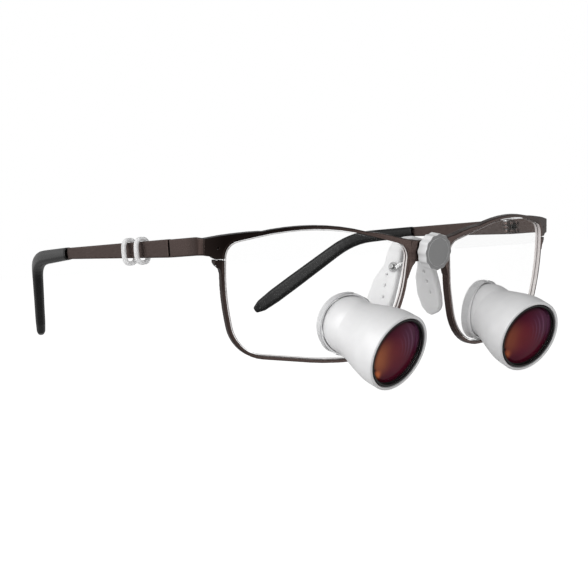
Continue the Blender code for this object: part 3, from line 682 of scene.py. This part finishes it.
def scalloped_knob(paint):
    """The thumb knob with its shallow finger scallops, made about its cap's axis."""
    middle, axis = turning_axis("knob_cap", Vector((0, -1, 0)))
    across, up = axes_about(axis)
    spots = [(offset.dot(axis), offset.cross(axis).length) for offset in offsets_from("thumb_knob", middle)]
    reach = max(radius for along, radius in spots)
    bore = min(radius for along, radius in spots)
    back = min(along for along, radius in spots)
    front = max(along for along, radius in spots)
    skirt = min(radius for along, radius in spots if along < back + SAME_SPOT)
    steps = [along for along, radius in spots if radius < bore + SAME_SPOT]
    hub, recess = min(steps), max(steps)
    cap = max(offset.cross(axis).length for offset in offsets_from("knob_cap", middle)) + CAP_GAP
    chamfer = KNOB_CHAMFER
    section = (
        (back, skirt), (back, reach - chamfer), (back + chamfer, reach), (front - chamfer, reach),
        (front, reach - chamfer), (front, cap), (recess, cap), (recess, bore), (hub, bore), (hub, skirt),
    )
    samples = KNOB_LOBES * LOBE_SEGMENTS
    bm = bmesh.new()
    rings = []
    for along, radius in eased_profile(section, True, KNOB_EASE):
        depth = KNOB_SCALLOP * max(0.0, (radius - cap) / (reach - cap))
        ring = []
        for i in range(samples):
            angle = 2 * math.pi * i / samples
            out = radius - depth * (0.5 - 0.5 * math.cos(KNOB_LOBES * angle))
            outward = math.cos(angle) * across + math.sin(angle) * up
            ring.append(bm.verts.new(middle + axis * along + out * outward))
        rings.append(ring)
    loft(bm, rings, True)
    return stand_in("thumb_knob", bm, paint)


def finish_knob(paints):
    """The thumb knob, its cap, and the washer and stud that it clamps with."""
    middle, axis = turning_axis("knob_cap", Vector((0, -1, 0)))
    metal = knob_metal("knob_metal_surface", axis, (0.3, 0.3, 0.302))
    scalloped_knob(metal)
    turned_again("knob_cap", axis, metal, SEGMENTS, CAP_EASE)
    turned_again("clamp_washer", axis, paints["steel"])
    turned_again("mount_stud", axis, paints["steel"])


def grooved_clip(node, paint):
    """A soft rounded loop with a groove round its outside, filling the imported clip's box."""
    low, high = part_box(node)
    places = vertices_of(node)
    middle = (Vector(low) + Vector(high)) / 2
    half = (Vector(high) - Vector(low)) / 2
    inner = min(abs(place[0] - middle.x) for place in places if abs(place[2] - middle.z) < half.z * 0.4)
    thick = (half.x - inner) / 2
    bm = bmesh.new()
    rings = []
    for i in range(CLIP_STEPS):
        angle = 2 * math.pi * i / CLIP_STEPS
        c, s = math.cos(angle), math.sin(angle)
        wide = math.copysign(abs(c) ** CLIP_SQUARENESS, c)
        tall = math.copysign(abs(s) ** CLIP_SQUARENESS, s)
        outward = Vector((c / (half.x - thick), 0, s / (half.z - thick))).normalized()
        centre = middle + Vector((wide * (half.x - thick), 0, tall * (half.z - thick)))
        ring = []
        for k in range(CLIP_SECTION_STEPS):
            turn = 2 * math.pi * k / CLIP_SECTION_STEPS
            groove = CLIP_GROOVE * math.exp(-(math.cos(turn) / CLIP_GROOVE_WIDTH) ** 2)
            out = math.sin(turn) * thick
            if out > 0:
                out *= 1 - groove
            ring.append(bm.verts.new(centre + outward * out + Vector((0, math.cos(turn) * half.y, 0))))
        rings.append(ring)
    loft(bm, rings, True)
    return stand_in(node, bm, paint)


def finish_frame(paints):
    """The front, temples, tips, pads and cable clips."""
    worked_soft("frame_front", paints["front"], *FRONT_FINISH)
    for hand in HANDS:
        worked_soft("temple_" + hand, paints["temple"], *TEMPLE_FINISH)
        worked_soft("temple_tip_" + hand, paints["tip"], *TIP_FINISH)
        worked_soft("pad_arm_" + hand, paints["steel"], *PAD_ARM_FINISH)
    worked_soft("nose_saddle", paints["saddle"], *SADDLE_FINISH)
    for clip in ("cable_clip_front", "cable_clip_rear"):
        grooved_clip(clip, paints["clip"])


def brushed_front():
    """The front's plating, brushed along the rims, with painted shade at one corner."""
    dark, light = (0.075, 0.052, 0.046), (0.12, 0.088, 0.08)
    return brushed_metal("brushed_front", dark, light, (0.12, 1.0, 1.0), 0.24, True)


def brushed_temple():
    """The temples' plating, brushed along their length."""
    dark, light = (0.07, 0.05, 0.045), (0.12, 0.09, 0.082)
    return brushed_metal("brushed_temple", dark, light, (1.0, 0.06, 1.0), 0.32)


def make_paints():
    """The materials that are made once and given to pieces by name."""
    return {
        "front": brushed_front(),
        "temple": brushed_temple(),
        "steel": bright_steel(),
        "housing": satin_housing(),
        "black": black_anodised(),
        "tip": polished_acetate(),
        "saddle": moulded_silicone("saddle_silicone", (0.96, 0.96, 0.965), 1.0),
        "clip": moulded_silicone("clip_silicone", (0.97, 0.97, 0.98), 0.72),
        "eyepiece": clear_lens("eyepiece_glass", (0, 0, 0), telescope_axis("right")),
    }


# Stage

def away(azimuth, elevation):
    """The direction away from the object at an azimuth and elevation."""
    level = math.cos(elevation)
    return Vector((math.sin(azimuth) * level, -math.cos(azimuth) * level, math.sin(elevation)))


def pale_floor():
    """A pale matt floor, dark in the object's reflections but for one bright card at the front."""
    lowest = CAD_BOX[0].z
    bm = bmesh.new()
    bmesh.ops.create_circle(bm, cap_ends=True, segments=64, radius=FLOOR_RADIUS)
    mesh = bpy.data.meshes.new("floor")
    bm.to_mesh(mesh)
    bm.free()
    floor = bpy.data.objects.new("floor", mesh)
    floor.location.z = lowest - FLOOR_GAP
    bpy.context.scene.collection.objects.link(floor)
    made, tree, shader = new_material("pale_floor")
    grain = noise(tree, millimetres(tree), 0.02, 2.0)
    path = tree.nodes.new("ShaderNodeLightPath")
    camera, glossy = path.outputs["Is Camera Ray"], path.outputs["Is Glossy Ray"]
    tone = maths(tree, "MULTIPLY_ADD", grain, 0.04, 0.84)
    seen = maths(tree, "MULTIPLY_ADD", camera, -0.55, tone)
    colour = mixed(tree, glossy, ramp(tree, seen, (0.0, 0.0), (1.0, 1.0)), (0.03, 0.03, 0.03))
    incoming = tree.nodes.new("ShaderNodeNewGeometry").outputs["Incoming"]
    level = vector_maths(tree, "NORMALIZE", vector_maths(tree, "MULTIPLY", incoming, (1.0, 1.0, 0.0)))
    towards = vector_maths(tree, "DOT_PRODUCT", level, tuple(-away(CARD_AZIMUTH, 0.0)))
    card = ramp(tree, towards, (0.64, 0.3), (0.78, 0.55), (0.88, 0.8), (0.97, 0.95))
    rise = vector_maths(tree, "DOT_PRODUCT", incoming, (0.0, 0.0, 1.0))
    steep = ramp(tree, rise, (0.6, 1.0), (0.95, 0.3))
    lit_card = maths(tree, "MULTIPLY", maths(tree, "MULTIPLY", card, steep), glossy)
    glow = maths(tree, "MULTIPLY_ADD", camera, 0.92, lit_card)
    drive(
        tree, shader, Base_Color=colour, Roughness=0.9, Specular_IOR_Level=0.1,
        Emission_Color=(1.0, 1.0, 1.0), Emission_Strength=glow,
    )
    made.cycles.emission_sampling = "NONE"
    mesh.materials.append(made)


def studio_dome():
    """White to the camera; to the object, a soft tent, brightest at the camera's left and dim overhead."""
    world = bpy.data.worlds.new("studio")
    world.use_nodes = True
    tree = world.node_tree
    background = tree.nodes["Background"]
    direction = tree.nodes.new("ShaderNodeTexCoord").outputs["Generated"]
    left = vector_maths(tree, "DOT_PRODUCT", direction, tuple(away(TENT_AZIMUTH, 0.0)))
    side = ramp(tree, maths(tree, "MULTIPLY_ADD", left, 0.5, 0.5), (0.1, 0.3), (0.5, 0.5), (0.95, 1.1))
    height = vector_maths(tree, "DOT_PRODUCT", direction, (0.0, 0.0, 1.0))
    overhead = ramp(tree, height, (0.1, 1.0), (0.5, 0.75), (1.0, 0.4))
    shade = mixed(tree, 1.0, side, overhead, "MULTIPLY")
    camera_ray = tree.nodes.new("ShaderNodeLightPath").outputs["Is Camera Ray"]
    tree.links.new(mixed(tree, camera_ray, shade, (1.0, 1.0, 1.0)), background.inputs["Color"])
    bpy.context.scene.world = world


def key_light():
    """A square soft box aimed at the middle of the object."""
    low, high = CAD_BOX
    middle = (low + high) / 2
    outward = away(KEY_AZIMUTH, KEY_ELEVATION)
    data = bpy.data.lights.new("key_box", "AREA")
    data.size = KEY_SIZE
    data.energy = KEY_POWER
    light = bpy.data.objects.new("key_box", data)
    light.location = middle + outward * KEY_DISTANCE
    light.rotation_euler = outward.to_track_quat("Z", "Y").to_euler()
    light.visible_camera = False
    bpy.context.scene.collection.objects.link(light)


def studio_camera():
    """The camera, rolled a little about the way it looks."""
    data = bpy.data.cameras.new("camera")
    data.lens = CAMERA_LENS
    data.sensor_width = SENSOR_WIDTH
    data.clip_start = 0.01
    camera = bpy.data.objects.new("camera", data)
    back = away(CAMERA_AZIMUTH, CAMERA_ELEVATION)
    up = back.cross(camera_right())
    right = camera_right() * math.cos(CAMERA_ROLL) + up * math.sin(CAMERA_ROLL)
    top = back.cross(right)
    turned = Matrix((right, top, back)).transposed().to_4x4()
    camera.matrix_world = Matrix.Translation(CAMERA_TARGET + back * CAMERA_DISTANCE) @ turned
    bpy.context.scene.collection.objects.link(camera)
    bpy.context.scene.camera = camera


def build():
    """Finish every piece, then set the stage."""
    paints = make_paints()
    finish_frame(paints)
    finish_knob(paints)
    for hand in HANDS:
        finish_telescope(hand, paints)
        finish_lens(hand, paints)
        finish_fasteners(hand, paints)
    pale_floor()
    studio_dome()
    key_light()
    studio_camera()
    bpy.context.scene.view_settings.view_transform = "Standard"


build()
